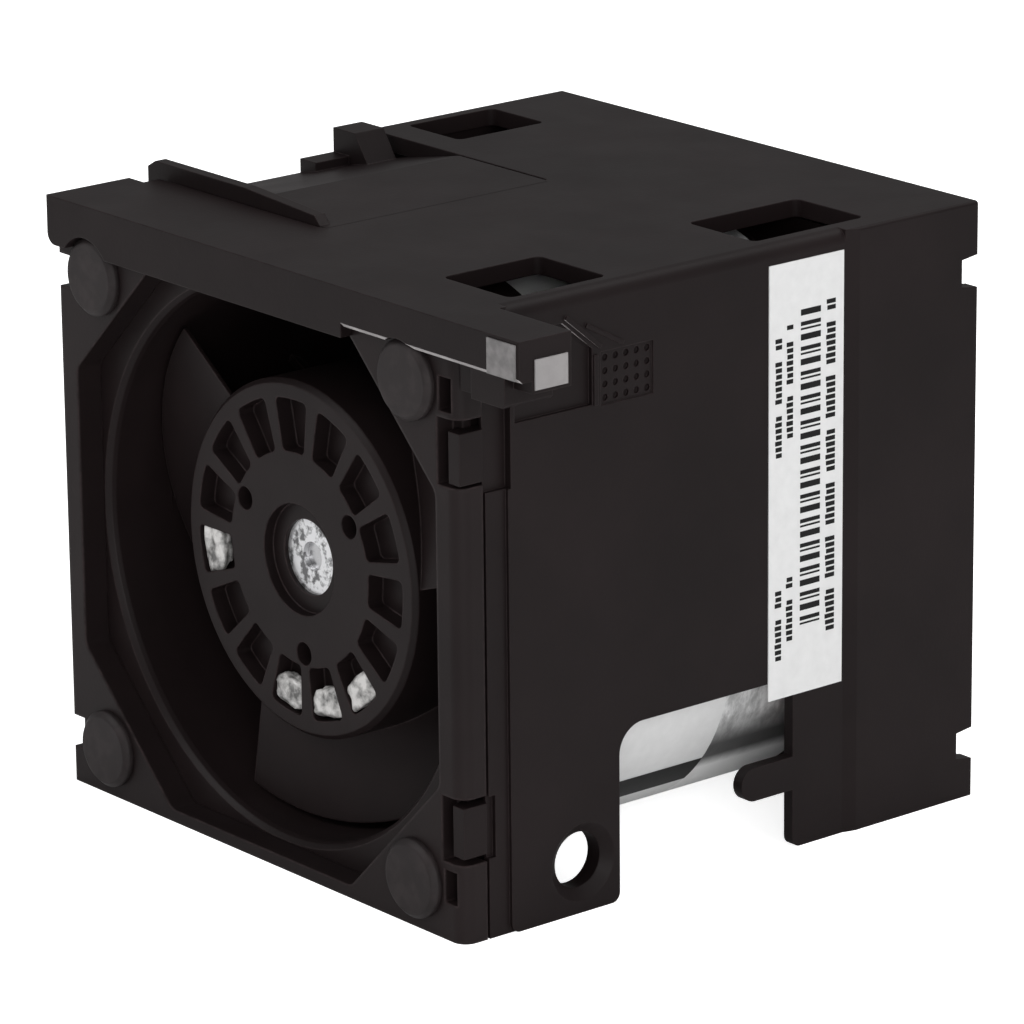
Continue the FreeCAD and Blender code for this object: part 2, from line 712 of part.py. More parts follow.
def barrel(end):
    funnel_radius = bore_radius + funnel_flare
    shell = flange().fuse(rod(barrel_radius, fan_front + 1, end))
    air_way = turned([(0, fan_front - 1), (funnel_radius, fan_front - 1),
                      (funnel_radius, fan_front), (bore_radius + funnel_flare / 4,
                                                   fan_front + funnel_depth / 2),
                      (bore_radius, fan_front + funnel_depth), (bore_radius, end + 1), (0, end + 1)])
    return shell.cut(air_way)


def guide_vane():
    """Still vane between the motor cup and the barrel, bowed along the flow."""
    back = fan_middle - base_plate / 2
    front = back - vane_chord
    lean = math.radians(vane_lean)
    curves = []
    for radius in (base_radius - base_wall / 2, bore_radius + barrel_wall / 2):
        for offset in (0.0, vane_thickness):
            points = []
            for share in (0.0, 0.5, 1.0):
                turn = lean * share * share + offset / radius
                points.append(Vector(radius * math.cos(turn), front + (back - front) * share,
                                     radius * math.sin(turn)))
            curves.append(Part.Arc(*points).toShape())
    return shell_between(curves)


def shell_between(curves):
    """Closed solid from four curves: inner and outer radius, each with its two sides."""
    inner_a, inner_b, outer_a, outer_b = curves
    faces = [Part.makeRuledSurface(inner_a, inner_b), Part.makeRuledSurface(outer_a, outer_b),
             Part.makeRuledSurface(inner_a, outer_a), Part.makeRuledSurface(inner_b, outer_b)]
    for end in (0, -1):
        lines = [Part.makeLine(a.Vertexes[end].Point, b.Vertexes[end].Point)
                 for a, b in ((inner_a, inner_b), (outer_a, outer_b))]
        faces.append(Part.makeRuledSurface(*lines))
    shell = Part.makeShell(faces)
    shell.sewShape()
    solid = Part.makeSolid(shell)
    if solid.Volume < 0:
        solid.reverse()
    return solid


def motor_cup():
    """Cup behind the rotor that carries the bearing tube, the stator and the board."""
    seat = tube_radius - tube_wall / 2
    floor = fan_middle - base_plate
    return turned([(seat, floor), (base_radius - base_wall, floor), (base_radius - base_wall, cup_front),
                   (base_radius, cup_front), (base_radius, fan_middle), (0, fan_middle),
                   (0, floor + base_plate / 2), (seat, floor + base_plate / 2)])


def front_housing():
    end = fan_middle + spigot_length
    shell = barrel(fan_middle)
    spigot = ring(bore_radius, bore_radius + barrel_wall / 2 - spigot_clearance,
                  fan_middle - spigot_length, end)
    vane = guide_vane()
    vanes = [about_axis(vane, 360.0 * i / vane_count) for i in range(vane_count)]
    return shell.fuse([spigot, motor_cup()] + vanes).removeSplitter()


def rear_housing():
    shell = barrel(fan_middle)
    socket = rod(bore_radius + barrel_wall / 2, fan_middle - spigot_length - spigot_clearance,
                 fan_middle + 1)
    socket = socket.cut(rod(bore_radius - spigot_room, 0, fan_rear))
    vane = guide_vane()
    vanes = [about_axis(vane, 360.0 * (i + 0.5) / vane_count) for i in range(vane_count)]
    # The socket also trims the vanes, which stop short of the front stage's spigot.
    shell = shell.fuse([motor_cup()] + vanes)
    return mirrored(shell.cut(socket).removeSplitter()).cut(lead_holes())


# ---------------------------------------------------------------- rotors
def pocket(angle, inner=pocket_inner):
    """Balancing pocket: a ring sector whose side ribs have even width."""
    half_pitch = 180.0 / pocket_count
    middle_radius = (pocket_inner + pocket_outer) / 2
    half = half_pitch - math.degrees(pocket_rib / 2 / middle_radius)
    tool = sector(inner, pocket_outer, angle - half, angle + half,
                  hub_front, hub_front + pocket_depth)
    return tool.makeFillet(pocket_corner, edges_along(tool, axis_y))


def blade(start_angle, wrap):
    """Wide blade that winds round the hub from its leading to its trailing edge."""
    front = hub_front + blade_front
    back = hub_rear - blade_back
    curves = []
    for radius, sweep in ((hub_radius - hub_wall / 2, 0.0), (bore_radius + 1, blade_sweep)):
        for side in (-1, 1):
            points = []
            for step in range(blade_spans + 1):
                share = step / blade_spans
                bow = share + blade_camber * math.sin(math.pi * share)
                swell = math.sin(math.pi * share ** blade_fullness)
                half = (blade_edge + (blade_thickness - blade_edge) * swell) / 2
                points.append(polar(radius, start_angle + sweep + wrap * share,
                                    front + (back - front) * (2 * share - bow) + side * half))
            curve = Part.BSplineCurve()
            curve.interpolate(points)
            curves.append(curve.toShape())
    return shell_between(curves)


def impeller(blade_angles, wrap):
    outer = [(0, hub_front), (hub_radius - hub_edge, hub_front), (hub_radius, hub_front + hub_edge),
             (hub_radius, hub_rear), (yoke_radius, hub_rear), (yoke_radius, hub_front + hub_face),
             (0, hub_front + hub_face)]
    hub = turned(outer)
    cuts = [rod(hub_recess_radius, hub_front - 1, hub_front + hub_recess_depth),
            rod(bushing_radius, hub_front - 1, hub_rear)]
    for angle in vent_hole_angles:
        place = polar(vent_hole_pitch, angle, 0)
        cuts.append(rod(vent_hole_radius, hub_front - 1, hub_rear, place.x, place.z))
    for index in range(pocket_count):
        cuts.append(pocket(pocket_first_angle - 360.0 * index / pocket_count))
    hub = hub.cut(cuts)
    sweep_room = rod(tip_radius, hub_front, hub_rear).cut(rod(yoke_radius, 0, fan_rear))
    blades = [blade(angle, wrap).common(sweep_room) for angle in blade_angles]
    return hub.fuse(blades).removeSplitter()


def putty():
    lumps = [pocket(angle, pocket_outer - putty_length) for angle in putty_angles]
    lumps = [lump.cut(rod(hub_radius, 0, hub_front + putty_drop)) for lump in lumps]
    return Part.makeCompound(lumps)


yoke_front = hub_front + hub_face
magnet_front = yoke_front + yoke_back + magnet_setback
magnet_rear = hub_rear - magnet_inset


def yoke():
    """Steel cup inside the hub, closing the magnet's field."""
    cup = turned([(bushing_radius, yoke_front), (yoke_radius, yoke_front),
                  (yoke_radius, hub_rear - yoke_inset), (magnet_radius, hub_rear - yoke_inset),
                  (magnet_radius, yoke_front + yoke_back), (bushing_radius, yoke_front + yoke_back)])
    holes = []
    for angle in vent_hole_angles:
        place = polar(vent_hole_pitch, angle, 0)
        holes.append(rod(vent_hole_radius, 0, hub_rear, place.x, place.z))
    return cup.cut(holes)


def magnet():
    return ring(magnet_radius - magnet_thickness, magnet_radius, magnet_front, magnet_rear)


bushing_front = hub_front + hub_recess_depth + bushing_recess
shaft_front = bushing_front + shaft_recess
tube_front = bushing_front + bushing_length + tube_end_gap
front_bearing = tube_front + bearing_recess
bearing_places = (front_bearing, fan_middle - rear_bearing_ahead)
shaft_rear = fan_middle - base_plate / 2 - shaft_end_gap
clip_front = bearing_places[1] + bearing_width + ball_play


def bushing():
    return ring(shaft_radius, bushing_radius, bushing_front, bushing_front + bushing_length)


def shaft():
    groove = ring(shaft_radius - clip_groove, shaft_radius + 1, clip_front, clip_front + clip_thickness)
    body = rod(shaft_radius, shaft_front, shaft_rear)
    tip = edges_round(body, shaft_rear)
    return body.makeChamfer(shaft_chamfer, tip).cut(groove)


def edges_round(shape, y):
    return [e for e in shape.Edges if abs(e.CenterOfMass.y - y) < 1e-4 and e.Length > 1]


def retaining_clip():
    """Snap ring in the shaft's groove, behind the rear bearing."""
    body = ring(shaft_radius - clip_groove + clip_play, clip_radius, clip_front + clip_play,
                clip_front + clip_thickness - clip_play)
    return body.cut(block(-shaft_radius / 2, shaft_radius / 2, 0, fan_rear, 0, clip_radius + 1))


def bearing_tube():
    """Turned tube pressed into the motor cup, with a shoulder for each bearing."""
    floor = fan_middle - base_plate
    back = floor + base_plate / 2
    seat = tube_radius - tube_wall / 2
    shoulder = bearing_radius - tube_shoulder
    shoulder_front = bearing_places[0] + bearing_width
    shoulder_rear = bearing_places[1] - washer_thickness
    return turned([(bearing_radius, tube_front), (tube_radius, tube_front), (tube_radius, floor),
                   (seat, floor), (seat, back), (bearing_radius, back),
                   (bearing_radius, shoulder_rear), (shoulder, shoulder_rear),
                   (shoulder, shoulder_front), (bearing_radius, shoulder_front)])


def race(inner, outer, front):
    """One bearing ring with its ball groove."""
    body = ring(inner, outer, front, front + bearing_width)
    pitch = (shaft_radius + bearing_radius) / 2
    groove = Part.makeTorus(pitch, ball_radius + ball_play, Vector(0, front + bearing_width / 2, 0),
                            axis_y)
    return body.cut(groove)


def outer_rings():
    return Part.makeCompound([race(bearing_radius - bearing_ring, bearing_radius, front)
                              for front in bearing_places])


def inner_rings():
    return Part.makeCompound([race(shaft_radius, shaft_radius + bearing_ring, front)
                              for front in bearing_places])


def balls():
    pitch = (shaft_radius + bearing_radius) / 2
    found = []
    for front in bearing_places:
        for index in range(ball_count):
            place = polar(pitch, 360.0 * index / ball_count, front + bearing_width / 2)
            found.append(Part.makeSphere(ball_radius, place))
    return Part.makeCompound(found)


def preload_washer():
    """Spring washer between the tube's rear shoulder and that bearing's outer ring."""
    front = bearing_places[1] - washer_thickness
    return ring(bearing_radius - bearing_ring, bearing_radius - washer_play,
                front, front + washer_thickness)


# ---------------------------------------------------------------- stator
stator_middle = (magnet_front + magnet_rear) / 2
stator_front = stator_middle - stator_length / 2
stator_rear = stator_middle + stator_length / 2
core_radius = tube_radius + stator_bore_wall


def stator_core():
    """Stack of steel sheets: a ring with poles that end in curved shoes."""
    body = ring(tube_radius, core_radius, stator_front, stator_rear)
    pieces = []
    for index in range(pole_count):
        angle = 360.0 * index / pole_count
        leg = block(core_radius - overlap, stator_radius - pole_shoe / 2, stator_front, stator_rear,
                    -pole_width / 2, pole_width / 2)
        shoe = sector(stator_radius - pole_shoe, stator_radius, -pole_shoe_angle / 2,
                      pole_shoe_angle / 2, stator_front, stator_rear)
        pieces += [about_axis(leg, angle), about_axis(shoe, angle)]
    return body.fuse(pieces).removeSplitter()


def around_pole(inset, thickness):
    """Sleeve round one pole leg, at the distance inset from the steel."""
    half_w = pole_width / 2 + inset
    x_low = core_radius + pole_end_gap
    # The shoe's inner side is round, so it is nearest at the sleeve's outer corners.
    x_high = math.sqrt((stator_radius - pole_shoe) ** 2 - (half_w + thickness) ** 2) - pole_end_gap
    y_low = stator_front - inset
    y_high = stator_rear + inset
    outer = block(x_low, x_high, y_low - thickness, y_high + thickness,
                  -half_w - thickness, half_w + thickness)
    inner = block(x_low - 1, x_high + 1, y_low, y_high, -half_w, half_w)
    return outer, inner


def windings():
    coils = []
    for index in range(pole_count):
        outer, inner = around_pole(bobbin_wall + coil_clearance, coil_thickness)
        outer = outer.makeFillet(coil_rounding, edges_along(outer, Vector(1, 0, 0)))
        coils.append(about_axis(outer.cut(inner), 360.0 * index / pole_count))
    return Part.makeCompound(coils)


def bobbins():
    sleeves = []
    for index in range(pole_count):
        outer, inner = around_pole(0.0, bobbin_wall)
        sleeves.append(about_axis(outer.cut(inner), 360.0 * index / pole_count))
    return Part.makeCompound(sleeves)


def circuit_board():
    """Round drive board behind the stator, with its chips and the position sensor."""
    front = board_front
    board = ring(tube_radius + board_bore_gap, board_radius, front, front + board_thickness)
    chips = []
    for x, z, width, height, rise in board_chips:
        chips.append(block(x - width / 2, x + width / 2, front - rise, front,
                           z - height / 2, z + height / 2))
    return Part.makeCompound([board] + chips)


# ---------------------------------------------------------------- rubber pins
def rubber_pin(head_side, through):
    """Rivet-like rubber pin: domed head, neck through both plates, barb behind them."""
    neck_end = head_side + through
    points = [(0, head_side - pin_head), (pin_head_radius - pin_head / 2, head_side - pin_head),
              (pin_head_radius, head_side - pin_head / 2), (pin_head_radius, head_side),
              (pin_neck_radius, head_side), (pin_neck_radius, neck_end),
              (pin_barb_radius, neck_end), (pin_tip_radius, neck_end + pin_barb_length),
              (0, neck_end + pin_barb_length)]
    return turned(points)


def front_pins():
    pin = rubber_pin(0.0, bezel_depth + flange_thickness)
    return Part.makeCompound([pin.translated(Vector(x, 0, z)) for x, z in corner_places()])


def rear_pins():
    plate_side = fan_rear + rear_plate
    pin = rubber_pin(0.0, rear_plate + flange_thickness)
    pin = pin.mirror(Vector(0, 0, 0), axis_y)
    return Part.makeCompound([pin.translated(Vector(x, plate_side, z)) for x, z in corner_places()])


# ---------------------------------------------------------------- leads, connector, labels
def rounded_path(points, radii):
    """Straight runs joined by tangent arcs, one radius for each inner point."""
    edges = []
    start = points[0]
    for index, radius in enumerate(radii, 1):
        corner = points[index]
        back = (points[index - 1] - corner).normalize()
        ahead = (points[index + 1] - corner).normalize()
        half_turn = (math.pi - back.getAngle(ahead)) / 2
        setback = radius * math.tan(half_turn)
        arc_start = corner + back * setback
        arc_end = corner + ahead * setback
        bisector = (back + ahead).normalize()
        arc_middle = corner + bisector * (radius / math.cos(half_turn) - radius)
        edges.append(Part.makeLine(start, arc_start))
        edges.append(Part.Arc(arc_start, arc_middle, arc_end).toShape())
        start = arc_end
    edges.append(Part.makeLine(start, points[-1]))
    return Part.Wire(edges)


def lead_direction():
    return polar(1.0, lead_exit_angle, 0)


def lead_offset(index):
    """Sideways place of one lead in the flat row that crosses the air duct."""
    return polar((index - (lead_count - 1) / 2) * lead_pitch, lead_exit_angle - 90, 0)


def lead_route(index):
    """From the drive board out through the duct, back along the corner and down the wall."""
    rear_drop = rear_flange_front - pin_barb_length - lead_pin_gap - lead_radius
    drop_y = rear_drop - index * lead_pitch
    wall_x = right_inside - lead_wall_gap - lead_radius
    plug_top = foot_level + connector_foot + connector_height
    plug_y = contact_places()[index]
    side = lead_offset(index)
    solder = lead_direction() * lead_solder_radius + side
    corner = lead_direction() * (barrel_radius + lead_corner_room) + side
    board_face = 2 * fan_middle - board_front
    return [Vector(solder.x, board_face, solder.z), Vector(solder.x, lead_exit_y, solder.z),
            Vector(corner.x, lead_exit_y, corner.z), Vector(corner.x, drop_y, corner.z),
            Vector(wall_x, drop_y, corner.z - (wall_x - corner.x)),
            Vector(wall_x, drop_y, plug_top + 2 * lead_tail),
            Vector(connector_x, plug_y, plug_top + lead_tail),
            Vector(connector_x, plug_y, plug_top)]


def leads():
    wires = []
    for index in range(lead_count):
        points = lead_route(index)
        path = rounded_path(points, lead_bends)
        aim = points[1] - points[0]
        circle = Part.Wire(Part.makeCircle(lead_radius, points[0], aim))
        wires.append(path.makePipeShell([circle], True, True))
    return Part.makeCompound(wires)


def connector():
    """Receptacle that meets the board's plug as the module is pushed down."""
    low = foot_level + connector_foot
    x_low = right_inside - connector_width
    body = block(x_low, right_inside, connector_end - connector_length, connector_end,
                 low, low + connector_height)
    free_edges = edges_along(body, Vector(0, 0, 1), lambda c: c.x < connector_x)
    body = body.makeChamfer(connector_chamfer, free_edges)
    half = contact_size / 2
    return body.cut([block(connector_x - half, connector_x + half, y - half, y + half,
                           low - 1, low + contact_depth) for y in contact_places()])


def contact_places():
    """Middles of the contacts along Y, from the rear."""
    return [connector_y - (index - (lead_count - 1) / 2) * contact_pitch
            for index in range(lead_count)]


def contacts():
    low = foot_level + connector_foot
    outer = contact_size / 2
    inner = outer - contact_wall
    sleeves = []
    for y in contact_places():
        sleeve = block(connector_x - outer, connector_x + outer, y - outer, y + outer,
                       low + contact_recess, low + contact_depth)
        sleeves.append(sleeve.cut(block(connector_x - inner, connector_x + inner, y - inner,
                                        y + inner, low, low + contact_depth - contact_wall)))
    return Part.makeCompound(sleeves)


def side_label():
    y_low, y_high = [fan_rear - ahead for ahead in side_label_ahead]
    return block(right_face, right_face + label_thickness, y_low, y_high,
                 side_label_low, side_label_high)


def barrel_wrap(y_low, y_high):
    return sector(barrel_radius, barrel_radius + label_thickness, *barrel_label_angles,
                  y_low, y_high)


def lead_holes():
    """Clearance for the leads through the rear stage's cup and barrel."""
    reach = barrel_radius + outside - lead_solder_radius
    tools = []
    for index in range(lead_count):
        start = lead_direction() * lead_solder_radius + lead_offset(index)
        start.y = lead_exit_y
        tools.append(Part.makeCylinder(lead_radius + lead_hole_room, reach, start, lead_direction()))
    return tools


# ---------------------------------------------------------------- build
def finish(name, shape):
    """Set a piece down on the feet's plane and write it."""
    placed = shape.copy()
    placed.translate(Vector(0, -bezel_depth / 2, -foot_level))
    placed.exportStep(os.path.join("parts", name + ".step"))
    print(name, len(placed.Solids), round(placed.Volume, 1), placed.isValid())


def build():
    os.makedirs("parts", exist_ok=True)
    finish("carrier", carrier())
    finish("front_bezel", bezel())
    finish("touch_point", touch_point())
    finish("release_latch", release_latch())
    finish("front_fan_housing", front_housing())
    finish("rear_fan_housing", rear_housing())
    finish("front_rubber_pins", front_pins())
    finish("rear_rubber_pins", rear_pins())
    finish("fan_leads", leads())
    finish("connector_housing", connector())
    finish("connector_contacts", contacts())
    finish("side_label", side_label())
    finish("rating_label", barrel_wrap(rating_label_start, rating_label_end))
    foil = barrel_wrap(rating_label_end + label_gap, fan_rear - foil_ahead)
    finish("foil_band", foil.cut(lead_holes()))
    finish("balance_putty", putty())
    rear_angles = [360.0 * index / rear_blade_count for index in range(rear_blade_count)]
    finish("front_impeller", impeller(front_blade_angles, front_blade_wrap))
    finish("rear_impeller", mirrored(impeller(rear_angles, rear_blade_wrap)))
    stage = {"rotor_yoke": yoke(), "magnet_ring": magnet(), "hub_bushing": bushing(),
             "shaft": shaft(), "retaining_clip": retaining_clip(), "bearing_tube": bearing_tube(),
             "outer_bearing_rings": outer_rings(), "inner_bearing_rings": inner_rings(),
             "bearing_balls": balls(), "preload_washer": preload_washer(),
             "stator_core": stator_core(), "windings": windings(), "winding_bobbins": bobbins(),
             "circuit_board": circuit_board()}
    for name, shape in stage.items():
        finish("front_" + name, shape)
        finish("rear_" + name, mirrored(shape))


build()
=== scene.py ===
"""Looks, light and camera of the hot-swap server fan module.

Metres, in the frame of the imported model: X to the right seen from the intake, Y along the air
flow, Z up, with the module standing on Z = 0.
"""
import math
import bmesh
import bpy
from mathutils import Matrix, Vector, noise

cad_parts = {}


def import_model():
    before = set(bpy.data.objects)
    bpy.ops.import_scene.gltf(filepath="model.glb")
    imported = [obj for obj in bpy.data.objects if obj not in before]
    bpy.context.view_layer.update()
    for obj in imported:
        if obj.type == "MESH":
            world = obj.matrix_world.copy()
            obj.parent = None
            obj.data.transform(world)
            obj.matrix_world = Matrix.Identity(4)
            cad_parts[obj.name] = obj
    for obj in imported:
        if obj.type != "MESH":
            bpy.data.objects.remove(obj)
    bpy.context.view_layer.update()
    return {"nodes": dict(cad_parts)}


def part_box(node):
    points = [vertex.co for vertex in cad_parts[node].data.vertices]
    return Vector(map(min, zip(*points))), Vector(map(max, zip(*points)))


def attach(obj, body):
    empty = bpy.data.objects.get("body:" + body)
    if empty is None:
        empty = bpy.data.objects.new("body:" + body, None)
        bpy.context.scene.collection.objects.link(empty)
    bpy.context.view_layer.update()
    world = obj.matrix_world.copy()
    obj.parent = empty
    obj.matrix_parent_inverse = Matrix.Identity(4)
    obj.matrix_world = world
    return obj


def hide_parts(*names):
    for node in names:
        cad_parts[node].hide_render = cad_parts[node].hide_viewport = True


MM = 0.001

# Camera, as the object is seen in its product view
AZIMUTH = math.radians(50.51)
ELEVATION = math.radians(17.16)
ROLL = math.radians(-0.584)
DISTANCE = 620.37 * MM
LENS = 215.73                  # on a 36 mm sensor
AIM_RIGHT = 3.90 * MM          # the aim's place beside and above the middle of the module
AIM_UP = 0.37 * MM
AIM_DEPTH = 26.5 * MM

FLOOR_LIFT = 0.80              # keeps the floor white where it is seen

# Plain colours, linear
CARRIER = (0.0100, 0.0066, 0.0068)
BEZEL = (0.0128, 0.0088, 0.0090)
FAN = (0.0130, 0.0088, 0.0090)
RUBBER = (0.0175, 0.0135, 0.0138)
GREY = (0.40, 0.38, 0.38)
WHITE_PAPER = (0.74, 0.74, 0.74)
INK = (0.012, 0.012, 0.012)
FOIL = (0.90, 0.90, 0.90)
# Painted reflection on the foil: a dark band between these heights, with painted bright foil below
# it.
FOIL_PAINTED_BAND = (5.0 * MM, 6.5 * MM, 8.0 * MM, 11.5 * MM)  # above the foil's low edge
PUTTY = (0.46, 0.45, 0.44)
STEEL = (0.55, 0.55, 0.56)
DARK_STEEL = (0.20, 0.20, 0.21)
BRASS = (0.60, 0.42, 0.16)
COPPER = (0.55, 0.20, 0.08)
MAGNET = (0.035, 0.033, 0.033)
BOBBIN = (0.52, 0.50, 0.42)
BOARD = (0.010, 0.075, 0.028)
LEAD_COLOURS = ((0.45, 0.02, 0.015), (0.012, 0.012, 0.012), (0.60, 0.42, 0.02), (0.02, 0.06, 0.30))

# Label print, as shares of the label
PRINT_LOW = 0.16
PRINT_HIGH = 0.89
GREEKED_RULES = ((0.08, 0.09, (0.56, 0.84)), (0.08, 0.09, (0.09, 0.26)),
                 (0.23, 0.09, (0.60, 0.86)), (0.23, 0.09, (0.13, 0.28)),
                 (0.76, 0.13, (0.13, 0.90)))      # place, width and ranges, as shares
BAR_PITCH = 0.42 * MM
STROKE = 0.46 * MM             # one mark of a greeked rule
STROKE_GAP = 0.17 * MM
PRINT_RISE = 0.01 * MM

# Body between the fan's flanges: a rounded square that touches the barrel on four sides
BODY_FLAT = 8.4 * MM           # half of each flat side
BODY_STEPS = 20
BODY_PINS_GAP = 0.3 * MM       # to the rubber pins at its ends
WRAP_RISE = 0.08 * MM
WRAP_ANGLES = (-90.0, 90.0)
WRAP_START = 10.0 * MM         # from the body's front
WRAP_SEAM = 25.9 * MM
WRAP_END = 40.0 * MM
STRIP_ANGLES = (-49.0, -38.0)
STRIP_START = 11.0 * MM

# Balancing pockets, as in the impeller
POCKET_HALF_PITCH = math.radians(12.0)
POCKET_HALF_RIB = 0.75 * MM
PUTTY_PROUD = 0.5 * MM
PUTTY_SPREAD = 0.7 * MM        # over the ribs, where it stands proud

# Web over the latch's moulded root
SEAM_HALF_WIDTH = 0.45 * MM
SEAM_RISE = 0.015 * MM

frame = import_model()


# ---------------------------------------------------------------- shader helpers
class Nodes:
    """A material's node tree with short ways to add and join nodes."""

    def __init__(self, name):
        self.material = bpy.data.materials.new(name)
        self.material.use_nodes = True
        self.tree = self.material.node_tree
        self.tree.nodes.clear()
        self.shader = self.add("ShaderNodeBsdfPrincipled")
        output = self.add("ShaderNodeOutputMaterial")
        self.join(self.shader, "BSDF", output, "Surface")
        self.place = self.add("ShaderNodeTexCoord")

    def add(self, kind, **settings):
        node = self.tree.nodes.new(kind)
        for key, value in settings.items():
            setattr(node, key, value)
        return node

    def join(self, a, out, b, into):
        self.tree.links.new(a.outputs[out], b.inputs[into])

    def set(self, **values):
        for key, value in values.items():
            name = key.replace("_", " ")
            self.shader.inputs[name].default_value = value

    def noise(self, scale, detail=3.0, roughness=0.55, stretch=(1, 1, 1)):
        """Noise in the piece's own coordinates; scale counts features per metre."""
        spread = self.add("ShaderNodeMapping")
        spread.inputs["Scale"].default_value = stretch
        self.join(self.place, "Object", spread, "Vector")
        node = self.add("ShaderNodeTexNoise")
        node.inputs["Scale"].default_value = scale
        node.inputs["Detail"].default_value = detail
        node.inputs["Roughness"].default_value = roughness
        self.join(spread, "Vector", node, "Vector")
        return node

    def ramp(self, source, out, low, high, value_low, value_high):
        node = self.add("ShaderNodeMapRange")
        for key, value in (("From Min", low), ("From Max", high),
                           ("To Min", value_low), ("To Max", value_high)):
            node.inputs[key].default_value = value
        self.join(source, out, node, "Value")
        return node

    def math(self, operation, a, b):
        """a and b are (node, output) pairs or numbers."""
        node = self.add("ShaderNodeMath", operation=operation)
        for index, value in enumerate((a, b)):
            if isinstance(value, tuple):
                self.tree.links.new(value[0].outputs[value[1]], node.inputs[index])
            else:
                node.inputs[index].default_value = value
        return node

    def blend(self, factor, out, low, high):
        """Colour between low and high; each is a colour or a (node, output) pair."""
        node = self.add("ShaderNodeMix", data_type="RGBA")
        self.tree.links.new(factor.outputs[out], node.inputs["Factor"])
        for key, value in (("A", low), ("B", high)):
            socket = [s for s in node.inputs if s.name == key and s.type == "RGBA"][0]
            if isinstance(value[0], bpy.types.Node):
                self.tree.links.new(value[0].outputs[value[1]], socket)
            else:
                socket.default_value = (*value, 1.0)
        return node

    def colour_from(self, mix):
        result = [s for s in mix.outputs if s.type == "RGBA"][0]
        self.tree.links.new(result, self.shader.inputs["Base Color"])

    def edges(self, radius):
        """Rounded edges in the shading, as moulds leave them."""
        bevel = self.add("ShaderNodeBevel", samples=6)
        bevel.inputs["Radius"].default_value = radius
        return bevel

    def bump(self, height, out, strength, distance, normal=None):
        node = self.add("ShaderNodeBump")
        node.inputs["Strength"].default_value = strength
        node.inputs["Distance"].default_value = distance
        self.join(height, out, node, "Height")
        if normal is not None:
            self.join(normal, "Normal", node, "Normal")
        return node

    def edge_mask(self, radius, low=0.80, high=0.99):
        """1 on sharp edges, 0 on the flats."""
        bevel = self.edges(radius)
        face = self.add("ShaderNodeNewGeometry")
        dot = self.add("ShaderNodeVectorMath", operation="DOT_PRODUCT")
        self.join(bevel, "Normal", dot, 0)
        self.join(face, "Normal", dot, 1)
        return self.ramp(dot, "Value", low, high, 1.0, 0.0)


def scaled(colour, factor):
    return tuple(channel * factor for channel in colour)


# ---------------------------------------------------------------- materials
def plastic(name, colour, roughness, grain, grain_depth, edge=0.18 * MM, edge_wear_and_highlight_gain=3.5):
    """Moulded plastic: fine grain, uneven sheen, and slightly paler edges that are part wear, part
    painted highlight.
    """
    n = Nodes(name)
    cloud = n.noise(55.0, 4.0)
    speck = n.noise(900.0, 2.0)
    body = n.blend(n.ramp(cloud, "Fac", 0.35, 0.65, 0.0, 1.0), "Result",
                   scaled(colour, 0.85), scaled(colour, 1.18))
    # Paler edges: part wear, part painted highlight where light catches the rounded edges.
    wear_and_highlight_mask = n.math("MULTIPLY", (n.edge_mask(edge), "Result"),
                  (n.ramp(speck, "Fac", 0.35, 0.62, 0.25, 1.0), "Result"))
    wear_and_highlight_mask = n.math("MULTIPLY", (wear_and_highlight_mask, "Value"), 0.8)
    mixed = n.blend(wear_and_highlight_mask, "Value", (body, "Result"), scaled(colour, edge_wear_and_highlight_gain))
    n.colour_from(mixed)
    sheen = n.ramp(n.noise(140.0, 3.0), "Fac", 0.3, 0.7, roughness - 0.02, roughness + 0.025)
    n.join(sheen, "Result", n.shader, "Roughness")
    fine = n.bump(n.noise(grain, 2.0), "Fac", 0.35, grain_depth, n.edges(edge))
    n.join(fine, "Normal", n.shader, "Normal")
    n.set(Specular_IOR_Level=0.13)
    return n.material


def rubber(name, colour):
    n = Nodes(name)
    dust = n.ramp(n.noise(420.0, 4.0), "Fac", 0.45, 0.75, 0.0, 1.0)
    n.colour_from(n.blend(dust, "Result", colour, scaled(colour, 1.9)))
    soft = n.bump(n.noise(1500.0), "Fac", 0.25, 0.03 * MM, n.edges(0.4 * MM))
    n.join(soft, "Normal", n.shader, "Normal")
    n.set(Roughness=0.52, Specular_IOR_Level=0.22)
    return n.material


def metal(name, colour, roughness, stretch=(1, 1, 1), scale=900.0, depth=0.01 * MM):
    """Bare metal with turning or rolling marks along the stretched direction."""
    n = Nodes(name)
    marks = n.noise(scale, 3.0, 0.6, stretch)
    tone = n.ramp(marks, "Fac", 0.3, 0.7, 0.0, 1.0)
    n.colour_from(n.blend(tone, "Result", scaled(colour, 0.82), colour))
    n.join(n.ramp(marks, "Fac", 0.3, 0.7, roughness - 0.06, roughness + 0.08), "Result",
           n.shader, "Roughness")
    n.join(n.bump(marks, "Fac", 0.3, depth, n.edges(0.1 * MM)), "Normal", n.shader, "Normal")
    n.set(Metallic=1.0)
    return n.material


def paper(name):
    """Coated white label with faint fibres and a little dirt."""
    n = Nodes(name)
    fibre = n.ramp(n.noise(700.0, 5.0), "Fac", 0.35, 0.75, 0.0, 1.0)
    n.colour_from(n.blend(fibre, "Result", WHITE_PAPER, scaled(WHITE_PAPER, 0.93)))
    n.join(n.bump(n.noise(260.0, 4.0), "Fac", 0.2, 0.03 * MM), "Normal", n.shader, "Normal")
    n.set(Roughness=0.42, IOR=1.45)
    return n.material


